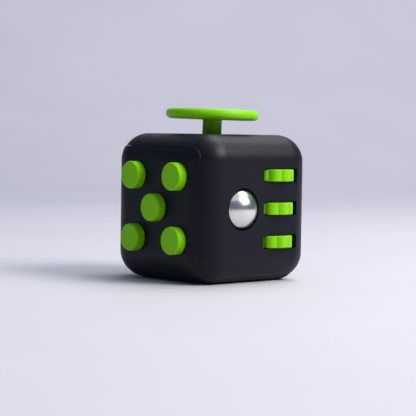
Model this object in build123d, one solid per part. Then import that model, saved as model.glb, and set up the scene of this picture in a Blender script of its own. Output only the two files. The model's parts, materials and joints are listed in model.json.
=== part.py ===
from build123d import *
import os
from math import asin, cos, degrees, radians, sin, sqrt, tan

# A 33 mm fidget cube: a two-part black case with a different thing to fiddle with on each face.
#
# Front (-Y): five push buttons.  Right (+X): three thumb wheels and a steel ball.  Top (+Z): a thumb stick.
# Back (+Y): a rocker switch.  Left (-X): a dial.  Underside (-Z): a thumb dip.
#
# Frame: millimetres, +Z up, origin at the centre of the face that the cube rests on.

# ---------------------------------------------------------------- case
side = 33.0  # outside length of the upper shell
edge_radius = 6.2  # rounding of every outer edge and corner
wall = 2.0
step = 0.15  # the lower shell stands this far proud of the upper one at the seam
parting_inset = 3.0  # the seam runs this far in from the upper shell's three faces
parting_corner = 2.6  # rounding of the seam where it turns
seam_gap = 0.08
skin = 1.0  # thickness of each leaf of the lap joint
lap = 1.2  # width of the lap joint
lap_gap = 0.05

half = side / 2
mid = half + step  # height of the cube's centre
top = mid + half  # height of the top face
cavity = half - wall  # half the inside width
low_face = half + step  # distance of the lower shell's faces from the centre
inside_floor = mid - cavity
inside_roof = mid + cavity
seam = half - parting_inset  # distance of the seam from the centre

# ---------------------------------------------------------------- fasteners
thread_radius = 0.8
screw_head_radius = 1.5
screw_head_height = 0.9
boss_radius = 1.4
boss_root = 0.5  # how far a boss runs into its wall
ear = 1.2  # thickness of every bracket's screw ear
screw_clearance = 0.15
screw_head_play = 0.1
pilot_spare = 0.3  # a pilot hole goes this much deeper than its screw

# ---------------------------------------------------------------- push buttons, front face
button_pitch = 7.05  # centre of the face to the centre of a corner button, along X and along Z
button_radius = 3.1
button_proud = 2.1
button_edge = 0.45
button_play = 0.12
button_flange_radius = 3.7
button_flange = 0.8
button_foot = 0.9  # how far the foot stands behind the flange
button_foot_radius = 1.2
button_bore_radius = 2.2  # the cap is hollow round its foot
button_face = 1.3  # thickness of its front
button_stop_gap = 0.05
backplate_front = -11.5
backplate_size = 20.4
backplate_corner = 3.6
dome_height = 1.2
snap_dome_radius = 2.8
snap_dome_sheet = 0.2

# ---------------------------------------------------------------- wheels and ball, right face
wheel_y = 6.0
wheel_pitch = 7.45
wheel_radius = 5.0
wheel_proud = 1.96
wheel_width = 2.65
wheel_lobes = 10
lobe_radius = 1.9
groove_fillet = 0.3
wheel_chamfer = 0.15
wheel_phase = (-26.4, -23.2, -15.6)  # degrees from +X to a groove, bottom wheel first
slot_length = 10.33
slot_height = 3.05
axle_radius = 0.8
axle_end = 6.1  # height of its lower end
axle_x = half + wheel_proud - wheel_radius
hub_radius = 1.9
hub_proud = 0.2
hub_gap = 0.1

ball_y = -5.4
ball_radius = 5.0
ball_proud = 2.15
ball_x = half + ball_proud - ball_radius
ball_hole_radius = 4.7
ball_gap = 0.1
cup_radius = 5.2
cup_rim_x = 12.0
cup_floor_x = 7.4
cup_play = 0.08
ball_housing_floor_x = 6.2
ball_housing_rim_x = 12.6
ball_housing_wall = 0.8
ball_snap_dome_radius = 3.6
ball_snap_dome_sheet = 0.25

# ---------------------------------------------------------------- thumb stick, top face
disc_radius = 10.7
disc_thickness = 2.35
disc_middle = top + 4.5  # height of the middle of the disc's rim
dish_depth, dish_mouth = 0.6, 8.6  # the shallow dish in the top of the disc
stem_radius = 2.2
stem_fillet = 0.35
pivot_depth = 6.25
pivot = top - pivot_depth
stick_dome_radius = 5.8
stick_dome_inner = 4.9
stick_dome_skirt = 2.9  # height of the dome's rim above the pivot
stick_hole_radius = 4.4
stick_x, stick_y = -0.2, -0.22  # the stick sits this far off the middle of its face
lean_x, lean_y = -0.82, 0.74  # how the stick leans at rest, in degrees about X, then about Y
gimbal_inner, gimbal_outer, gimbal_height = 2.7, 4.0, 2.2
stalk_radius, post_radius, pin_radius = 1.9, 1.3, 0.6
tail_length = 3.5  # the stalk's tail below the pivot
tail_room = 2.6  # radius of the hole that the tail swings in
cheek_near, cheek_far = 4.65, 5.65  # the two faces of a bearing cheek, from the stick's axis
diaphragm_radius = 4.3
stick_bracket_floor = 22.9

# ---------------------------------------------------------------- rocker, back face
rocker_depth = 2.4  # the pivot lies this far below the face
rocker_radius = 6.3
rocker_width = 7.6
rocker_throw = 10.0  # degrees each way from the middle
rocker_crown = 37.4  # degrees from the face to the rocker's outer corner, seen from the pivot
rocker_play = 0.15
rocker_side_play = 0.2
rocker_edge = 0.7  # rounding of its edges
trunnion_radius = 0.9
trunnion_room = 5.1  # the pocket for the trunnions ends this far to each side
nose_radius = 0.6
nose_reach = 5.0  # pivot to the tip of the nose under the rocker
nose_half = 1.8  # half the nose's width
leaf_seat = -5.4  # the leaf spring's seat, from the pivot
leaf_half = 4.8
leaf_sheet = 0.22
hump_radius = 0.45
rocker_y = half - rocker_depth

# ---------------------------------------------------------------- dial, left face
dial_radius = 9.5
dial_thickness = 2.35
dial_gap = 0.3
dial_edge = 0.8  # rounding of its outer edge
dimple_radius = 2.75
dimple_depth = 0.95
dimple_at = 5.3  # centre of the dial to the centre of its dimple
dial_shaft_radius = 2.5
dial_boss_x = -12.9
dial_boss_radius = 4.2
dial_back_edge = 0.3
dial_washer_radius = 4.1
dial_washer_play = 0.03
dial_clip_radius = 4.4
dial_clip_x = -12.45
dial_clip_thickness = 1.15

# ---------------------------------------------------------------- thumb dip, underside
pad_half = 9.2
pad_corner = 3.0
pad_depth = 1.2
pad_play = 0.1
pad_sunk = 0.1
dip_radius = 17.0
dip_mouth = 7.75
pad_skin = 1.0
bowl_room = 8.0  # radius of the hole in the lower shell that the dip hangs into
case_screw_at = 7.2

running = 0.06  # radial clearance of a turning fit
fixed = 0.02  # radial clearance of a fit that doesn't move


# ================================================================ shared shapes
def block(x, y, z):
    """A box from its low to its high value on each axis."""
    size = [high - low for low, high in (x, y, z)]
    centre = [(high + low) / 2 for low, high in (x, y, z)]
    return Pos(*centre) * Box(*size)


def rod(axis, at, radius, low, high):
    """A cylinder along a row axis from low to high; at is its place on the other two axes."""
    start = list(at)
    start.insert("XYZ".index(axis), low)
    direction = {"X": (1, 0, 0), "Y": (0, 1, 0), "Z": (0, 0, 1)}[axis]
    return extrude(Plane(origin=start, z_dir=direction) * Circle(radius), high - low)


def ball_at(x, y, z, radius):
    return Pos(x, y, z) * Sphere(radius)


def turned_about_x(outline):
    """Turns a closed outline; its first number runs along X, its second is the distance from the axis."""
    return revolve(make_face(outline), Axis.X)


def sprung_cap(reach, rise, sheet):
    """A thin cap of a sphere that stands on the XY plane, like the steel dome in a keypad."""
    radius = (reach**2 + rise**2) / (2 * rise)
    drop = radius - rise
    inner = radius - sheet
    outer_start = degrees(asin(drop / radius))
    inner_start = degrees(asin(drop / inner))
    outline = CenterArc((0, -drop), radius, outer_start, 90 - outer_start)
    outline += Line((0, rise), (0, rise - sheet))
    outline += CenterArc((0, -drop), inner, 90, inner_start - 90)
    outline += Line((sqrt(inner**2 - drop**2), 0), (reach, 0))
    return revolve(Plane.XZ * make_face(outline), Axis.Z)


def rounded_cube(half_width, radius):
    cube = Box(2 * half_width, 2 * half_width, 2 * half_width)
    return Pos(0, 0, mid) * fillet(cube.edges(), radius)


def screw(seat, length):
    """A pan-head screw; seat is the plane under its head, with its normal out of the head."""
    shank = extrude(seat * Circle(thread_radius), -length)
    head = extrude(seat * Circle(screw_head_radius), screw_head_height)
    head = fillet(head.edges().sort_by_distance(seat.origin)[-1], 0.4)
    for width, height in ((1.7, 0.35), (0.35, 1.7)):
        slot = extrude(seat.offset(screw_head_height) * Rectangle(width, height), -0.5)
        head -= slot
    return shank + head


def boss(seat, clamped, reach, radius=boss_radius):
    """The post that a screw goes into, from under the clamped ear down into the wall."""
    return extrude(seat.offset(-clamped) * Circle(radius), -(reach - clamped))


def pilot(seat, clamped, length):
    return extrude(seat.offset(-clamped) * Circle(thread_radius), -(length - clamped + pilot_spare))


def ear_hole(seat, clamped):
    return extrude(seat * Circle(thread_radius + screw_clearance), -clamped)


# ================================================================ where the screws sit
case_screw_seat = inside_floor - 0.05
case_screw_length = 3.9
case_pad_top = 3.0
case_pad_radius = 2.3
case_boss_start = 3.05
case_boss_top = 6.2
case_boss_radius = 2.0
case_rib_half = 0.6  # half the thickness of the ribs that carry the posts
case_rib_z = (3.2, 5.8)
case_seats = [
    Plane(origin=(x * case_screw_at, y * case_screw_at, case_screw_seat), z_dir=(0, 0, -1))
    for x, y in ((1, 1), (1, -1), (-1, 1))
]

backplate_rear = backplate_front + ear
click_screw_length = 3.8
click_seats = [
    Plane(origin=(x, backplate_rear, mid + z), z_dir=(0, 1, 0)) for x, z in ((0, 9.2), (0, -9.2), (-9.2, 0))
]

stick_screw_y = 7.4
stick_screw_length = 6.0
stick_seats = [
    Plane(origin=(stick_x, stick_y + y, stick_bracket_floor), z_dir=(0, 0, -1))
    for y in (-stick_screw_y, stick_screw_y)
]

ball_ear_x = 9.9
ball_screw_length = 4.4
ball_seats = [Plane(origin=(ball_ear_x, ball_y, mid + z), z_dir=(-1, 0, 0)) for z in (-8.4, 8.4)]

cradle_ear_x = 11.0
cradle_ear_y = 3.0
cradle_screw_length = 3.4
cradle_seats = [
    Plane(origin=(cradle_ear_x, cradle_ear_y, mid + z), z_dir=(-1, 0, 0)) for z in (-11.75, 11.75)
]

rocker_ear_y = 9.4
rocker_ear_x = 6.6
rocker_screw_length = 4.5
rocker_seats = [Plane(origin=(x, rocker_ear_y, mid), z_dir=(0, -1, 0)) for x in (-rocker_ear_x, rocker_ear_x)]

dial_screw_seat = Plane(origin=(dial_clip_x + dial_clip_thickness, 0, mid), z_dir=(1, 0, 0))
dial_screw_length = 4.6


# ================================================================ case
def parting_block(reach, radius):
    """The space on the lower shell's side of the seam; its corner is rounded where the seam turns."""
    cube = Pos(reach, reach, reach) * Box(2 * side, 2 * side, 2 * side, align=(Align.MAX,) * 3)
    corner = Vector(reach, reach, reach)
    rounded = fillet([edge for edge in cube.edges() if edge.distance_to(corner) < 1e-6], radius)
    return Pos(0, 0, mid) * rounded


def outer_leaf(stands_out):
    outside = rounded_cube(half + stands_out, edge_radius + stands_out)
    return outside - rounded_cube(half - skin, edge_radius - skin)


def inner_leaf():
    return rounded_cube(half - skin, edge_radius - skin) - rounded_cube(cavity, edge_radius - wall)


def wheel_slots():
    """The three openings that the wheels stand out of."""
    slots = Part()
    corner = 0.3
    for height in wheel_heights():
        inside = Plane(origin=(cavity - 1, wheel_y, height), x_dir=(0, 1, 0), z_dir=(1, 0, 0))
        slots += extrude(inside * RectangleRounded(slot_length, slot_height, corner), wall + 2)
    return slots


def ball_opening():
    """The ball's hole: a seat on the inside that stops the ball, and a plain neck outside."""
    seat = ball_radius + ball_gap
    neck = sqrt(seat**2 - ball_hole_radius**2)
    outline = ThreePointArc((-seat, 0), (0, seat), (neck, ball_hole_radius))
    outline += Polyline((neck, ball_hole_radius), (seat, ball_hole_radius), (seat, 0), (-seat, 0))
    return Pos(ball_x, ball_y, mid) * turned_about_x(outline)


def rocker_opening():
    """The hole that the rocker swings in, and a pocket that its trunnions drop into."""
    end = rocker_width / 2 + rocker_side_play
    room = trunnion_radius + rocker_play
    sweep = rod("X", (rocker_y, mid), rocker_radius + rocker_play, -end, end)
    pocket = block((-trunnion_room, trunnion_room), (rocker_y, rocker_y + room), (mid - room, mid + room))
    return sweep + pocket


def case_posts():
    """Posts that the case screws go into, each ribbed to the upper shell's walls."""
    posts = []
    for seat in case_seats:
        x, y = seat.origin.X, seat.origin.Y
        posts.append(rod("Z", (x, y), case_boss_radius, case_boss_start, case_boss_top))
        if x > 0:
            posts.append(block((x, cavity), (y - case_rib_half, y + case_rib_half), case_rib_z))
        if y > 0:
            posts.append(block((x - case_rib_half, x + case_rib_half), (y, cavity), case_rib_z))
    return posts


def make_upper_shell():
    """The case's right, back and top faces, with the posts that the mechanisms screw to."""
    shell = outer_leaf(0) - parting_block(seam + seam_gap, parting_corner + seam_gap)
    shell += inner_leaf() - parting_block(seam - lap + lap_gap, parting_corner)
    inside = rounded_cube(half - wall / 2, edge_radius - wall / 2)
    posts = case_posts()
    posts += [boss(seat, ear, inside_roof + boss_root - stick_bracket_floor) for seat in stick_seats]
    posts += [boss(seat, ear, cavity + boss_root - ball_ear_x) for seat in ball_seats]
    posts += [boss(seat, ear, cavity + boss_root - cradle_ear_x) for seat in cradle_seats]
    posts += [boss(seat, ear, cavity + boss_root - rocker_ear_y) for seat in rocker_seats]
    for post in posts:
        shell += post & inside
    for seat in case_seats:
        shell -= pilot(seat, 0, case_screw_length)
    for seats, length in (
        (stick_seats, stick_screw_length),
        (ball_seats, ball_screw_length),
        (cradle_seats, cradle_screw_length),
        (rocker_seats, rocker_screw_length),
    ):
        for seat in seats:
            shell -= pilot(seat, ear, length)
    shell -= rod("Z", (0, 0), stick_hole_radius, inside_roof - 1, top + 1)
    shell -= wheel_slots()
    shell -= ball_opening()
    shell -= rocker_opening()
    return shell


def make_lower_shell():
    """The case's front, left and bottom faces: button holes, the dial's boss and the dip's pocket."""
    shell = outer_leaf(step) & parting_block(seam, parting_corner)
    shell += inner_leaf() & parting_block(seam - lap, parting_corner - lap_gap)
    shell += rod("X", (0, mid), dial_boss_radius, -cavity - boss_root, dial_boss_x)
    for seat in case_seats:
        x, y = seat.origin.X, seat.origin.Y
        shell += rod("Z", (x, y), case_pad_radius, inside_floor - boss_root, case_pad_top)
    for seat in click_seats:
        shell += boss(seat, ear, cavity + boss_root + backplate_rear)
        shell -= pilot(seat, ear, click_screw_length)
    for x, z in button_places():
        shell -= rod("Y", (x, z), button_radius + button_play, -low_face - 1, -cavity + 1)
    shell -= rod("X", (0, mid), dial_shaft_radius + running, -low_face - 1, dial_boss_x + 1)
    pocket = extrude(Pos(0, 0, -1) * RectangleRounded(2 * pad_half, 2 * pad_half, pad_corner), 1 + pad_depth)
    shell -= pocket
    shell -= rod("Z", (0, 0), bowl_room, 0, inside_floor + 1)
    for seat in case_seats:
        x, y = seat.origin.X, seat.origin.Y
        shell -= rod("Z", (x, y), screw_head_radius + screw_head_play, 0, case_screw_seat)
        shell -= rod("Z", (x, y), thread_radius + screw_clearance, 0, case_pad_top + 1)
    return shell


def make_thumb_pad():
    """The inlay under the cube: a plate with a round dip for a thumb, let into the lower shell."""
    dip_depth = dip_radius - sqrt(dip_radius**2 - dip_mouth**2)
    centre = pad_sunk + dip_depth - dip_radius
    outline = RectangleRounded(2 * (pad_half - pad_play), 2 * (pad_half - pad_play), pad_corner - pad_play)
    pad = extrude(Pos(0, 0, pad_sunk) * outline, pad_depth - pad_sunk)
    bowl = ball_at(0, 0, centre, dip_radius + pad_skin)
    bowl &= rod("Z", (0, 0), pad_half - pad_play, pad_sunk, dip_radius)
    return pad + bowl - ball_at(0, 0, centre, dip_radius)


# ================================================================ push buttons
def button_places():
    return [(0, mid)] + [(x * button_pitch, mid + z * button_pitch) for z in (1, -1) for x in (-1, 1)]


def make_button(x, z):
    """A cap that slides in its hole, with a flange that keeps it in and a foot for its dome."""
    front = -low_face - button_proud
    flange_front = -cavity + button_stop_gap
    flange_back = flange_front + button_flange
    cap = rod("Y", (x, z), button_radius, front, flange_back)
    cap = fillet(cap.edges().sort_by(Axis.Y)[0], button_edge)
    cap += rod("Y", (x, z), button_flange_radius, flange_front, flange_back)
    cap -= rod("Y", (x, z), button_bore_radius, front + button_face, flange_back)
    cap += rod("Y", (x, z), button_foot_radius, front + button_face / 2, flange_back + button_foot)
    return cap


def make_snap_dome(x, z):
    """A sprung steel cap of a sphere, on the backplate under a clicking button."""
    on_plate = Plane(origin=(x, backplate_front, z), z_dir=(0, -1, 0))
    return on_plate * sprung_cap(snap_dome_radius, dome_height, snap_dome_sheet)


def make_silicone_dome(x, z):
    """A soft rubber cone, on the backplate under a silent button."""
    on_plate = Plane(origin=(x, backplate_front, z), z_dir=(0, -1, 0))
    base_radius, tip_radius, skirt_radius, sheet, skirt_sheet = 2.6, 1.5, 3.2, 0.5, 0.4
    inner_top = on_plate.offset(dome_height - sheet)
    outside = loft([on_plate * Circle(base_radius), on_plate.offset(dome_height) * Circle(tip_radius)])
    inside = loft([on_plate * Circle(base_radius - sheet), inner_top * Circle(tip_radius - sheet)])
    skirt = extrude(on_plate * Circle(skirt_radius), skirt_sheet)
    return outside + skirt - inside


def make_click_backplate():
    """The plate that the domes stand on, cut away where the ball's housing passes."""
    face = Plane(origin=(0, backplate_front, mid), x_dir=(1, 0, 0), z_dir=(0, 1, 0))
    plate = extrude(face * RectangleRounded(backplate_size, backplate_size, backplate_corner), ear)
    notch_start, notch_half = 4.8, 4.0
    notch_x = (notch_start, backplate_size)
    plate -= block(notch_x, (backplate_front - 1, backplate_rear + 1), (mid - notch_half, mid + notch_half))
    for seat in click_seats:
        plate -= ear_hole(seat, ear)
    return plate


# ================================================================ wheels
def wheel_heights():
    return [mid + wheel_pitch * row for row in (-1, 0, 1)]


def make_wheel(height, phase):
    """A thumb wheel with rounded lobes, and a groove at the phase angle."""
    outline = Circle(wheel_radius - lobe_radius / 2)
    for number in range(wheel_lobes):
        turn = phase + (number + 0.5) * 360 / wheel_lobes
        outline += Rot(0, 0, turn) * Pos(wheel_radius - lobe_radius, 0) * Circle(lobe_radius)
    outline = fillet(outline.vertices(), groove_fillet)
    wheel = extrude(outline, wheel_width / 2, both=True)
    rims = wheel.edges().group_by(Axis.Z)
    wheel = chamfer(rims[0] + rims[-1], wheel_chamfer)
    wheel += Cylinder(hub_radius, wheel_width + 2 * hub_proud)
    wheel -= Cylinder(axle_radius + running, 2 * wheel_width)
    return Pos(axle_x, wheel_y, height) * wheel


def make_wheel_axle():
    axle = rod("Z", (axle_x, wheel_y), axle_radius, axle_end, 2 * mid - axle_end)
    return chamfer(axle.edges(), wheel_chamfer)


def make_wheel_cradle():
    """A comb behind the wheels: its webs hold the axle between and beyond them."""
    web_y = (wheel_y - 2.2, wheel_y + 2.2)
    spine_x = (6.6, 8.0)
    web_x = (spine_x[0], axle_x + 0.85)
    web_half = 0.7  # half the thickness of the webs between the wheels
    ear_half = 1.5
    end_hub_radius = 1.2
    end_web = (6.35, 7.35)
    other_end = (2 * mid - end_web[1], 2 * mid - end_web[0])
    web_room = block((0, web_x[1]), web_y, (0, top))
    hub_end = wheel_width / 2 + hub_proud + hub_gap
    low, middle, high = wheel_heights()

    cradle = block(spine_x, web_y, (end_web[0], other_end[1]))
    cradle += block(web_x, web_y, end_web)
    cradle += block(web_x, web_y, other_end)
    for below, above in ((low, middle), (middle, high)):
        between = (below + above) / 2
        cradle += block(web_x, web_y, (between - web_half, between + web_half))
        cradle += rod("Z", (axle_x, wheel_y), hub_radius, below + hub_end, above - hub_end) & web_room
    for start, end in ((end_web[0], low - hub_end), (high + hub_end, other_end[1])):
        cradle += rod("Z", (axle_x, wheel_y), end_hub_radius, start, end) & web_room
    for seat, web in zip(cradle_seats, (end_web, other_end)):
        z = seat.origin.Z
        ear_z = (min(z - ear_half, web[0]), max(z + ear_half, web[1]))
        cradle += block((cradle_ear_x, cradle_ear_x + ear), (cradle_ear_y - ear_half, wheel_y), ear_z)
        cradle -= ear_hole(seat, ear)
    cradle -= rod("Z", (axle_x, wheel_y), axle_radius + fixed, 0, top)
    return cradle


# ================================================================ ball
def make_ball():
    return ball_at(ball_x, ball_y, mid, ball_radius)


def make_ball_cup():
    cup = rod("X", (ball_y, mid), cup_radius, cup_floor_x, cup_rim_x)
    return cup - ball_at(ball_x, ball_y, mid, ball_radius + cup_play)


def make_ball_snap_dome():
    """A sprung steel cap of a sphere between the housing's floor and the cup."""
    on_floor = Plane(origin=(ball_housing_floor_x, ball_y, mid), z_dir=(1, 0, 0))
    rise = cup_floor_x - ball_housing_floor_x - cup_play
    return on_floor * sprung_cap(ball_snap_dome_radius, rise, ball_snap_dome_sheet)


def make_ball_housing():
    """The tube that the ball's cup slides in, with a closed back and two ears."""
    ear_half = 1.7
    vent_radius = 1.0
    back_x = ball_housing_floor_x - ball_housing_wall
    tube = rod("X", (ball_y, mid), cup_radius + ball_housing_wall, back_x, ball_housing_rim_x)
    ear_x = (ball_ear_x, ball_ear_x + ear)
    for seat in ball_seats:
        z = seat.origin.Z
        tube += block(ear_x, (ball_y - ear_half, ball_y + ear_half), sorted((mid, z)))
        tube += rod("X", (ball_y, z), ear_half, *ear_x)
    tube -= rod("X", (ball_y, mid), cup_radius + ball_gap, ball_housing_floor_x, side)
    tube -= rod("X", (ball_y, mid), vent_radius, back_x - 1, side)
    for seat in ball_seats:
        tube -= ear_hole(seat, ear)
    return tube


# ================================================================ thumb stick
def leaning_ring(shape):
    """Puts a piece that tilts about X only where it rests."""
    return Pos(stick_x, stick_y, pivot) * Rot(lean_x, 0, 0) * shape


def leaning_stick(shape):
    """Puts a piece that tilts about both axes where it rests."""
    return Pos(stick_x, stick_y, pivot) * Rot(lean_x, 0, 0) * Rot(0, lean_y, 0) * shape


def upright(radius, low, high):
    """A cylinder about the stick's own axis; heights are above the pivot."""
    return rod("Z", (0, 0), radius, low, high)


def make_stick_disc():
    """The thumb disc and its stem, which pushes onto the post."""
    middle = disc_middle - pivot
    under = middle - disc_thickness / 2
    over = middle + disc_thickness / 2
    disc = upright(disc_radius, under, over)
    disc = fillet(disc.edges().filter_by(GeomType.CIRCLE), disc_thickness / 2 - 0.02)
    dish_radius = (dish_mouth**2 + dish_depth**2) / (2 * dish_depth)
    disc -= Pos(0, 0, over - dish_depth + dish_radius) * Sphere(dish_radius)
    stem = upright(stem_radius, stick_dome_inner, under + 0.5) - Sphere(stick_dome_radius + fixed)
    disc += stem
    rings = [e for e in disc.edges().filter_by(GeomType.CIRCLE) if abs(e.radius - stem_radius) < 0.01]
    disc = fillet(max(rings, key=lambda e: e.center().Z), stem_fillet)
    disc -= upright(post_radius + fixed, 0, under - 0.6)
    return leaning_stick(disc)


def make_stick_post():
    """The dome that closes the hole under the disc, its post, and the stalk down to the pivot."""
    dome = Sphere(stick_dome_radius) - Sphere(stick_dome_inner)
    dome &= upright(stick_dome_radius, stick_dome_skirt, stick_dome_radius)
    post_top = disc_middle - disc_thickness / 2 - pivot - 0.7
    post = upright(stalk_radius, -1.2, stick_dome_inner + 0.3)
    post += upright(post_radius, stick_dome_inner, post_top)
    post += upright(post_radius, -tail_length, 0)
    post += dome
    post -= rod("Y", (0, 0), pin_radius + fixed, -stalk_radius, stalk_radius)
    return leaning_stick(post)


def make_stick_pin():
    """The steel pin through the stalk; its ends turn in the ring."""
    reach = gimbal_outer - 0.2
    return leaning_stick(rod("Y", (0, 0), pin_radius, -reach, reach))


def make_stick_ring():
    """The gimbal ring: its own trunnions lie along X, and the stick's pin crosses it along Y."""
    ring = upright(gimbal_outer, -gimbal_height / 2, gimbal_height / 2)
    trunnion_end = cheek_far - 0.15
    ring += rod("X", (0, 0), trunnion_radius, -trunnion_end, trunnion_end)
    ring -= upright(gimbal_inner, -gimbal_height, gimbal_height)
    ring -= rod("Y", (0, 0), pin_radius + running, -2 * gimbal_outer, 2 * gimbal_outer)
    return leaning_ring(ring)


def make_stick_bracket():
    """The yoke under the top face that carries the gimbal ring."""
    ear_half = 1.7
    bearing_radius = 1.75
    floor_z = (stick_bracket_floor, stick_bracket_floor + ear)
    plate = rod("Z", (0, 0), cheek_far + 0.25, *floor_z)
    plate += block((-ear_half, ear_half), (-stick_screw_y, stick_screw_y), floor_z)
    for y in (-stick_screw_y, stick_screw_y):
        plate += rod("Z", (0, y), ear_half, *floor_z)
    for turned in (-1, 1):
        cheek_x = sorted((turned * cheek_near, turned * cheek_far))
        below_dome = block(cheek_x, (-ear_half, ear_half), (floor_z[0], pivot + 1.5))
        plate += block(cheek_x, (-ear_half, ear_half), (floor_z[0], pivot))
        plate += rod("X", (0, pivot), bearing_radius, *cheek_x) & below_dome
    plate -= rod("Z", (0, 0), tail_room, 0, floor_z[1])
    plate -= rod("X", (0, pivot), trunnion_radius + running, -side, side)
    plate = Pos(stick_x, stick_y, 0) * plate
    for seat in stick_seats:
        plate -= ear_hole(seat, ear)
    return plate


def make_stick_diaphragm():
    """The rubber ring round the stalk's tail that brings the stick back upright."""
    low = stick_bracket_floor + ear
    at = (stick_x, stick_y)
    return rod("Z", at, diaphragm_radius, low, low + 0.6) - rod("Z", at, post_radius + 0.12, 0, top)


# ================================================================ rocker
def on_rocker_axis(shape):
    """Puts a shape drawn round the pivot, with +Y out of the face, where the rocker is."""
    return Pos(0, rocker_y, mid) * shape


def make_rocker():
    """A two-faced switch cap; its nose points into the cube and its trunnions lie along X."""
    corner = radians(rocker_crown)
    z, y = rocker_radius * cos(corner), rocker_radius * sin(corner)
    valley = y - z * tan(radians(rocker_throw))
    under = -2.0
    low_z = sqrt(rocker_radius**2 - under**2)
    side_view = Plane(origin=(-rocker_width / 2, 0, 0), x_dir=(0, 0, 1), z_dir=(-1, 0, 0))
    # In that plane the first number runs along +Z and the second along +Y.
    outline = Polyline((-z, y), (0, valley), (z, y))
    outline += ThreePointArc((z, y), (rocker_radius, 0), (low_z, under))
    outline += Line((low_z, under), (-low_z, under))
    outline += ThreePointArc((-low_z, under), (-rocker_radius, 0), (-z, y))
    rocker = extrude(side_view * make_face(outline), -rocker_width)
    rocker = fillet(rocker.edges().filter_by(lambda e: e.center().Y > under + 0.1), rocker_edge)
    nose_middle = nose_reach - nose_radius
    rocker += block((-nose_half, nose_half), (-nose_middle, 0), (-nose_radius, nose_radius))
    rocker += rod("X", (-nose_middle, 0), nose_radius, -nose_half, nose_half)
    trunnion_end = rocker_width / 2 + 1.05
    rocker += rod("X", (0, 0), trunnion_radius, -trunnion_end, trunnion_end)
    return on_rocker_axis(Rot(rocker_throw, 0, 0) * rocker)


def make_rocker_frame():
    """The cradle behind the rocker: open-topped bearings, a floor for the leaf spring, two ears."""
    near, far = rocker_width / 2 + 0.25, rocker_width / 2 + 1.25  # the two faces of a bearing cheek
    floor_y = (leaf_seat - 1.6, leaf_seat - 0.6)
    ear_y = (rocker_ear_y - rocker_y, rocker_ear_y - rocker_y + ear)
    cheek_half, cheek_top = 3.0, 0.3
    ear_half = boss_radius
    bearing = trunnion_radius + running
    frame = block((-far, far), floor_y, (-leaf_half, leaf_half))
    for turned in (-1, 1):
        cheek_x = sorted((turned * near, turned * far))
        frame += block(cheek_x, (floor_y[0], cheek_top), (-cheek_half, cheek_half))
        frame += block(sorted((turned * near, turned * rocker_ear_x)), ear_y, (-ear_half, ear_half))
        frame += rod("Y", (turned * rocker_ear_x, 0), ear_half, *ear_y)
        leaf_end = sorted((turned * (leaf_half - 0.9), turned * leaf_half))
        frame += block((-nose_half, nose_half), (floor_y[1], leaf_seat), leaf_end)
    frame -= rod("X", (0, 0), bearing, -side, side)
    frame -= block((-side, side), (0, 1), (-bearing, bearing))
    frame = on_rocker_axis(frame)
    for seat in rocker_seats:
        frame -= ear_hole(seat, ear)
    return frame


def make_rocker_leaf_spring():
    """A flat steel spring with a hump that the rocker's nose snaps over."""
    half_width = nose_half - 0.1
    hump_middle = leaf_seat + 0.3
    leaf_end = leaf_half - 0.1
    leaf = block((-half_width, half_width), (leaf_seat, leaf_seat + leaf_sheet), (-leaf_end, leaf_end))
    bump = rod("X", (hump_middle, 0), hump_radius, -half_width, half_width)
    bump &= block((-half_width, half_width), (leaf_seat, 0), (-1, 1))
    inside = rod("X", (hump_middle, 0), hump_radius - leaf_sheet, -side, side)
    return on_rocker_axis(leaf + bump - inside)


# ================================================================ dial
def make_spin_dial():
    """A dial with an off-centre dimple for a fingertip, on a shaft through the wall."""
    under = -low_face - dial_gap
    outer = under - dial_thickness
    shaft_end = dial_clip_x + dial_clip_thickness
    # The profile's first number runs along X and the second is the distance from the axis.
    profile = Polyline(
        (outer, 0),
        (outer, dial_radius),
        (under, dial_radius),
        (under, dial_shaft_radius),
        (shaft_end, dial_shaft_radius),
        (shaft_end, 0),
        close=True,
    )
    face = make_face(profile)
    rim = [corner for corner in face.vertices() if corner.Y > dial_radius - 0.1]
    face = fillet(min(rim, key=lambda corner: corner.X), dial_edge)
    back_corner = face.vertices().sort_by_distance(Vector(under, dial_radius))[0]
    face = fillet(back_corner, dial_back_edge)
    dial = Pos(0, 0, mid) * revolve(face, Axis.X)
    dimple_floor = Plane(origin=(outer + dimple_depth, 0, mid + dimple_at), z_dir=(-1, 0, 0))
    dimple = extrude(dimple_floor * Circle(dimple_radius), 3)
    dimple = fillet(dimple.edges().sort_by(Axis.X)[-1], dimple_depth - 0.05)
    return dial - dimple - pilot(dial_screw_seat, 0, dial_screw_length)


def make_dial_washer():
    """A thin fibre washer between the boss and the collar."""
    start, end = dial_boss_x + dial_washer_play, dial_clip_x - dial_washer_play
    washer = rod("X", (0, mid), dial_washer_radius, start, end)
    return washer - rod("X", (0, mid), dial_shaft_radius + running, -half, 0)


def make_dial_clip():
    """The collar that keeps the dial in, pushed onto its shaft inside the case."""
    clip = rod("X", (0, mid), dial_clip_radius, dial_clip_x, dial_clip_x + dial_clip_thickness)
    return clip - rod("X", (0, mid), dial_shaft_radius + fixed, -half, 0)


# ================================================================ everything
def all_screws(seats, length):
    return [screw(seat, length) for seat in seats]


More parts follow.
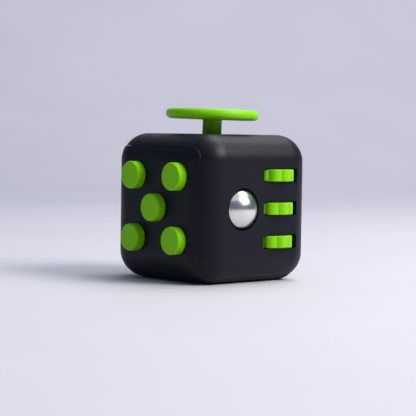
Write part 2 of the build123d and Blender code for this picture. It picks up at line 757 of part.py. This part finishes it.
def make_parts():
    """Every piece as node name: solid, or a list of identical solids."""
    places = button_places()
    clicking, silent = places[:3], places[3:]
    parts = {
        "upper_shell": make_upper_shell(),
        "lower_shell": make_lower_shell(),
        "case_screws": all_screws(case_seats, case_screw_length),
        "thumb_pad": make_thumb_pad(),
        "click_backplate": make_click_backplate(),
        "click_backplate_screws": all_screws(click_seats, click_screw_length),
        "snap_domes": [make_snap_dome(x, z) for x, z in clicking],
        "silicone_domes": [make_silicone_dome(x, z) for x, z in silent],
        "stick_bracket": make_stick_bracket(),
        "stick_bracket_screws": all_screws(stick_seats, stick_screw_length),
        "stick_diaphragm": make_stick_diaphragm(),
        "stick_ring": make_stick_ring(),
        "stick_pin": make_stick_pin(),
        "stick_post": make_stick_post(),
        "stick_disc": make_stick_disc(),
        "wheel_cradle": make_wheel_cradle(),
        "wheel_cradle_screws": all_screws(cradle_seats, cradle_screw_length),
        "wheel_axle": make_wheel_axle(),
        "ball": make_ball(),
        "ball_cup": make_ball_cup(),
        "ball_snap_dome": make_ball_snap_dome(),
        "ball_housing": make_ball_housing(),
        "ball_housing_screws": all_screws(ball_seats, ball_screw_length),
        "rocker": make_rocker(),
        "rocker_frame": make_rocker_frame(),
        "rocker_frame_screws": all_screws(rocker_seats, rocker_screw_length),
        "rocker_leaf_spring": make_rocker_leaf_spring(),
        "spin_dial": make_spin_dial(),
        "dial_washer": make_dial_washer(),
        "dial_clip": make_dial_clip(),
        "dial_screw": screw(dial_screw_seat, dial_screw_length),
    }
    names = ("middle", "top_left", "top_right", "bottom_left", "bottom_right")
    for name, (x, z) in zip(names, places):
        parts[f"button_{name}"] = make_button(x, z)
    for name, height, phase in zip(("bottom", "middle", "top"), wheel_heights(), wheel_phase):
        parts[f"wheel_{name}"] = make_wheel(height, phase)
    return parts


os.makedirs("parts", exist_ok=True)
for name, shape in make_parts().items():
    solids = shape if isinstance(shape, list) else [shape]
    export_step(Compound(children=[s for item in solids for s in item.solids()]), f"parts/{name}.step")
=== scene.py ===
import json
import math

import bpy
from mathutils import Matrix, Vector


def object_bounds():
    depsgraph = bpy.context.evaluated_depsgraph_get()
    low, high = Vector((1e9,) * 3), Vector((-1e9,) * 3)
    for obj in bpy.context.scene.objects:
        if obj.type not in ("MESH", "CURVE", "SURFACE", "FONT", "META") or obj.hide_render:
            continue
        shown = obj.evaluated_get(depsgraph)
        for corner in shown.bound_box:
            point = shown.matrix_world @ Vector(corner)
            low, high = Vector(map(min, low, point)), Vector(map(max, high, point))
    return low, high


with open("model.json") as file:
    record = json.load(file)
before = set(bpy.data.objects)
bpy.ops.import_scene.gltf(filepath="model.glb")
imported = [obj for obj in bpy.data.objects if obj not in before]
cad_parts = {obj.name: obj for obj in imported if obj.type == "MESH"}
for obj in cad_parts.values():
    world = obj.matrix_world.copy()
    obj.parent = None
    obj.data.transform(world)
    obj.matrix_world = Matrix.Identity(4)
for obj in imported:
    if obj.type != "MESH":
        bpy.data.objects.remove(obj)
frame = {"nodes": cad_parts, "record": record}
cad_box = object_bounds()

# Looks for the fidget cube: its materials, a floor, soft light and the camera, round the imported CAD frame.

MM = 0.001
nodes = frame["nodes"]
scene = bpy.context.scene
scene.view_settings.view_transform = "Standard"

# colours, as linear red, green and blue
LIME = (0.206, 0.59, 0.0004)
CASE = (0.0020, 0.0028, 0.0072)
CASE_SPECK = (0.05, 0.052, 0.06)
PAPER = (0.57, 0.555, 0.615)
PAPER_LIGHT = (0.59, 0.575, 0.635)
SKY = (0.45, 0.63, 0.86)
WARM = (1.0, 0.98, 0.93)
NEUTRAL = (1.0, 0.98, 0.95)
COOL = (0.96, 0.97, 1.0)
LILAC = (0.96, 0.95, 1.0)

# camera, in metres; it looks almost level at the edge between the buttons and the wheels
CAMERA_AT = Vector((252.385, -228.521, 32.666)) * MM
VIEW_AIM = Vector((-0.74196, 0.66869, -0.04857)).normalized()
CAMERA_ROLL = math.radians(0.906)
LENS = 128.0  # focal length in mm
SENSOR_WIDTH = 36  # in mm
CLIP_NEAR, CLIP_FAR = 0.01, 10
VIEW_ALONG = Vector((VIEW_AIM.x, VIEW_AIM.y, 0)).normalized()
VIEW_ACROSS = VIEW_ALONG.cross(Vector((0, 0, 1)))
CENTRE = (cad_box[0] + cad_box[1]) / 2

# stage, in metres
FLOOR_GAP = 0.01 * MM  # keeps the floor just under the face that the cube rests on
FLOOR_HALF_WIDTH = 2.4
FLOOR_NEAR = -1.6  # how far it runs towards and behind the camera
WALL_AT = 0.9  # distance of the backdrop behind the cube
BEND = 0.35  # radius of the curve from floor to backdrop
BEND_STEPS = 24
WALL_HEIGHT = 1.4
WASH_RISE = 0.25  # slope at which the backdrop's own light points up


# ---------------------------------------------------------------- node helpers
class Nodes:
    """A short way to write a material's node tree."""

    def __init__(self, name):
        self.material = bpy.data.materials.new(name)
        self.material.use_nodes = True
        self.tree = self.material.node_tree
        self.shader = self.tree.nodes["Principled BSDF"]
        self.place = self.add("ShaderNodeTexCoord").outputs["Object"]

    def add(self, kind, **inputs):
        node = self.tree.nodes.new(kind)
        for key, value in inputs.items():
            self.feed(value, node.inputs[key.replace("_", " ")])
        return node

    def feed(self, value, socket):
        if isinstance(value, bpy.types.NodeSocket):
            self.tree.links.new(value, socket)
        else:
            socket.default_value = value

    def noise(self, size_mm, detail=2.0, roughness=0.5, stretch=(1, 1, 1)):
        """Noise with features about size_mm across, and stretch times as long on each axis."""
        scaled = self.add("ShaderNodeMapping", Vector=self.place)
        scaled.inputs["Scale"].default_value = [1 / s for s in stretch]
        noise = self.add("ShaderNodeTexNoise", Vector=scaled.outputs["Vector"])
        noise.inputs["Scale"].default_value = 1 / (size_mm * MM)
        noise.inputs["Detail"].default_value = detail
        noise.inputs["Roughness"].default_value = roughness
        return noise.outputs["Fac"]

    def spread(self, value, low, high, start=0.3, end=0.7):
        """Maps noise onto a range of numbers."""
        node = self.add("ShaderNodeMapRange", Value=value)
        for key, number in (("From Min", start), ("From Max", end), ("To Min", low), ("To Max", high)):
            node.inputs[key].default_value = number
        return node.outputs["Result"]

    def between(self, value, first, second):
        """A colour that goes from first to second with value."""
        node = self.add("ShaderNodeMix")
        node.data_type = "RGBA"
        self.feed(value, node.inputs["Factor"])
        colours = [s for s in node.inputs if s.type == "RGBA"]
        for socket, colour in zip(colours, (first, second)):
            self.feed(colour if isinstance(colour, bpy.types.NodeSocket) else (*colour, 1), socket)
        return next(s for s in node.outputs if s.type == "RGBA")

    def plus(self, first, second, share=1.0):
        """first plus share times second."""
        node = self.add("ShaderNodeMath")
        node.operation = "MULTIPLY_ADD"
        self.feed(second, node.inputs[0])
        node.inputs[1].default_value = share
        self.feed(first, node.inputs[2])
        return node.outputs["Value"]

    def set(self, **values):
        for key, value in values.items():
            self.feed(value, self.shader.inputs[key.replace("_", " ")])

    def bump(self, height, depth_mm, strength=1.0):
        node = self.add("ShaderNodeBump", Height=height)
        node.inputs["Distance"].default_value = depth_mm * MM
        node.inputs["Strength"].default_value = strength
        self.feed(node.outputs["Normal"], self.shader.inputs["Normal"])


# ---------------------------------------------------------------- materials
def case_plastic():
    """Black soft-touch plastic: a fine moulded grain, with faint smears where hands have been."""
    m = Nodes("case_plastic")
    grain = m.noise(0.16, detail=3)
    cloud = m.noise(7.0, detail=3, roughness=0.6)
    specks = m.spread(m.noise(0.5, detail=1), 0, 1, 0.70, 0.76)
    colour = m.between(m.spread(cloud, 0, 1), CASE, [c * 1.25 for c in CASE])
    m.set(Base_Color=m.between(m.plus(0.0, specks, 0.12), colour, CASE_SPECK))
    m.set(Roughness=m.plus(m.spread(cloud, 0.40, 0.48), m.spread(grain, -0.04, 0.04)))
    m.set(Specular_IOR_Level=0.24)
    m.bump(grain, 0.012, 0.5)
    return m.material


def lime_plastic():
    """Lime plastic, coloured right through and slightly translucent, with a satin moulded face."""
    m = Nodes("lime_plastic")
    flow = m.noise(5.0, detail=3, stretch=(1, 1, 2.5))
    grain = m.noise(0.22, detail=2)
    m.set(Base_Color=m.between(m.spread(flow, 0, 1), LIME, [LIME[0] * 1.10, LIME[1] * 1.04, LIME[2]]))
    m.set(Roughness=m.plus(m.spread(flow, 0.33, 0.42), m.spread(grain, -0.03, 0.03)))
    m.set(Subsurface_Weight=0.2, Subsurface_Radius=(0.6, 1.0, 0.12), Subsurface_Scale=0.7 * MM)
    m.set(Specular_IOR_Level=0.20)
    m.bump(m.plus(grain, flow, 1.5), 0.006, 0.35)
    return m.material


def ball_steel():
    """A polished bearing ball with hairline scratches."""
    m = Nodes("ball_steel")
    scratches = m.noise(0.35, detail=4, roughness=0.7, stretch=(1, 7, 1.5))
    haze = m.noise(2.5, detail=3)
    m.set(Base_Color=m.between(m.spread(haze, 0, 1), (0.70, 0.68, 0.64), (0.82, 0.80, 0.76)))
    m.set(Metallic=1.0)
    m.set(Roughness=m.plus(m.spread(haze, 0.20, 0.25), m.spread(scratches, 0, 0.04, 0.55, 0.7)))
    m.bump(scratches, 0.0001, 0.05)
    return m.material


def plain_metal(name, colour, roughness, stretch):
    """Drawn or turned steel, with fine lines along one axis and faint stains."""
    m = Nodes(name)
    lines = m.noise(0.12, detail=4, roughness=0.7, stretch=stretch)
    stain = m.noise(1.5, detail=3)
    m.set(Base_Color=m.between(m.spread(stain, 0, 1), colour, [c * 0.8 for c in colour]))
    m.set(Metallic=1.0)
    m.set(Roughness=m.plus(roughness, m.spread(lines, -0.06, 0.10)))
    m.bump(lines, 0.003, 0.4)
    return m.material


def inner_plastic():
    """Dark unpainted plastic of the frames inside."""
    m = Nodes("inner_plastic")
    grain = m.noise(0.3, detail=3)
    m.set(Base_Color=m.between(m.spread(grain, 0, 1), (0.035, 0.035, 0.04), (0.05, 0.05, 0.055)))
    m.set(Roughness=m.spread(grain, 0.45, 0.6))
    m.bump(grain, 0.01, 0.4)
    return m.material


def silicone():
    """Soft grey translucent rubber."""
    m = Nodes("silicone")
    cloud = m.noise(1.0, detail=3)
    m.set(Base_Color=m.between(m.spread(cloud, 0, 1), (0.32, 0.32, 0.33), (0.4, 0.4, 0.41)))
    m.set(Roughness=m.spread(cloud, 0.5, 0.62), Subsurface_Weight=0.4)
    m.set(Subsurface_Radius=(1, 1, 1), Subsurface_Scale=0.6 * MM)
    m.bump(m.noise(0.2), 0.006, 0.4)
    return m.material


def washer_fibre():
    """Red vulcanised fibre with a pressed grain."""
    m = Nodes("washer_fibre")
    strands = m.noise(0.2, detail=4, roughness=0.7, stretch=(1, 4, 1))
    m.set(Base_Color=m.between(m.spread(strands, 0, 1), (0.22, 0.05, 0.03), (0.32, 0.08, 0.05)))
    m.set(Roughness=m.spread(strands, 0.6, 0.75))
    m.bump(strands, 0.01, 0.5)
    return m.material


def finish_nodes():
    """Every CAD node takes the material of the slot that the record gives it."""
    finishes = {
        "case_plastic": case_plastic(),
        "lime_plastic": lime_plastic(),
        "ball_steel": ball_steel(),
        "screw_steel": plain_metal("screw_steel", (0.46, 0.46, 0.48), 0.34, (1, 1, 5)),
        "spring_steel": plain_metal("spring_steel", (0.6, 0.6, 0.61), 0.22, (5, 1, 1)),
        "inner_plastic": inner_plastic(),
        "silicone": silicone(),
        "washer_fibre": washer_fibre(),
    }
    for part in frame["record"]["subparts"]:
        mesh = nodes[part["node"]].data
        mesh.materials.clear()
        mesh.materials.append(finishes[part["material_slot"]])


# ---------------------------------------------------------------- stage, light, camera
def stage_material():
    """Pale matt studio paper."""
    m = Nodes("studio_paper")
    cloud = m.noise(60.0, detail=2)
    m.set(Base_Color=m.between(m.spread(cloud, 0, 1), PAPER, PAPER_LIGHT))
    m.set(Roughness=0.7, Specular_IOR_Level=0.25)
    return m.material


def make_stage():
    """A pale floor that curves up into a backdrop behind the object, seen from the camera."""
    bend_start = WALL_AT - BEND
    profile = [(FLOOR_NEAR, 0.0), (bend_start, 0.0)]
    for number in range(1, BEND_STEPS + 1):
        angle = math.pi / 2 * number / BEND_STEPS
        profile.append((bend_start + BEND * math.sin(angle), BEND - BEND * math.cos(angle)))
    profile.append((WALL_AT, WALL_HEIGHT))
    points, faces = [], []
    for forward, up in profile:
        for across in (-FLOOR_HALF_WIDTH, FLOOR_HALF_WIDTH):
            points.append(VIEW_ALONG * forward + VIEW_ACROSS * across + Vector((0, 0, up - FLOOR_GAP)))
    for row in range(len(profile) - 1):
        faces.append((2 * row, 2 * row + 1, 2 * row + 3, 2 * row + 2))
    mesh = bpy.data.meshes.new("studio_floor")
    mesh.from_pydata(points, [], faces)
    mesh.polygons.foreach_set("use_smooth", [True] * len(mesh.polygons))
    mesh.materials.append(stage_material())
    floor = bpy.data.objects.new("studio_floor", mesh)
    scene.collection.objects.link(floor)


def area_light(name, azimuth, elevation, distance, size, power, colour):
    """A soft box that faces the cube: degrees, metres and watts.

    The azimuth is measured from the camera's line of sight, positive to the right.
    """
    turn, rise = math.radians(azimuth), math.radians(elevation)
    flat = VIEW_ACROSS * math.sin(turn) - VIEW_ALONG * math.cos(turn)
    away = flat * math.cos(rise) + Vector((0, 0, math.sin(rise)))
    data = bpy.data.lights.new(name, "AREA")
    data.shape = "RECTANGLE"
    data.size, data.size_y = size
    data.energy = power
    data.color = colour
    light = bpy.data.objects.new(name, data)
    light.location = CENTRE + away * distance
    light.rotation_mode = "QUATERNION"
    light.rotation_quaternion = (-away).to_track_quat("-Z", "Y")
    scene.collection.objects.link(light)
    return light


def make_world():
    """Dim bluish light from all round."""
    world = bpy.data.worlds.new("studio")
    world.use_nodes = True
    background = world.node_tree.nodes["Background"]
    background.inputs["Color"].default_value = (*SKY, 1)
    background.inputs["Strength"].default_value = 0.26
    scene.world = world


def make_lights():
    """A key from the right, a wide soft top, a light from behind, and a wash on the backdrop."""
    area_light("key_right", 66, 40, 0.6, (0.34, 0.26), 3.9, WARM)
    area_light("top_front", 12, 72, 0.8, (0.9, 0.8), 1.2, NEUTRAL)
    area_light("top_back", 140, 62, 0.7, (0.5, 0.4), 3.0, COOL)
    backdrop_wash = area_light("backdrop_wash", 180, 60, 0.55, (1.4, 0.3), 3.7, LILAC)
    backdrop_wash.rotation_quaternion = (VIEW_ALONG + Vector((0, 0, WASH_RISE))).to_track_quat("-Z", "Y")


def make_camera():
    """An almost level view of the edge between the buttons and the wheels."""
    data = bpy.data.cameras.new("camera")
    data.sensor_width = SENSOR_WIDTH
    data.lens = LENS
    data.clip_start, data.clip_end = CLIP_NEAR, CLIP_FAR
    camera = bpy.data.objects.new("camera", data)
    right = VIEW_AIM.cross(Vector((0, 0, 1))).normalized()
    up = right.cross(VIEW_AIM)
    turn = Matrix((right, up, -VIEW_AIM)).transposed().to_4x4()
    camera.matrix_world = Matrix.Translation(CAMERA_AT) @ turn @ Matrix.Rotation(CAMERA_ROLL, 4, "Z")
    scene.collection.objects.link(camera)
    scene.camera = camera


finish_nodes()
make_stage()
make_world()
make_lights()
make_camera()
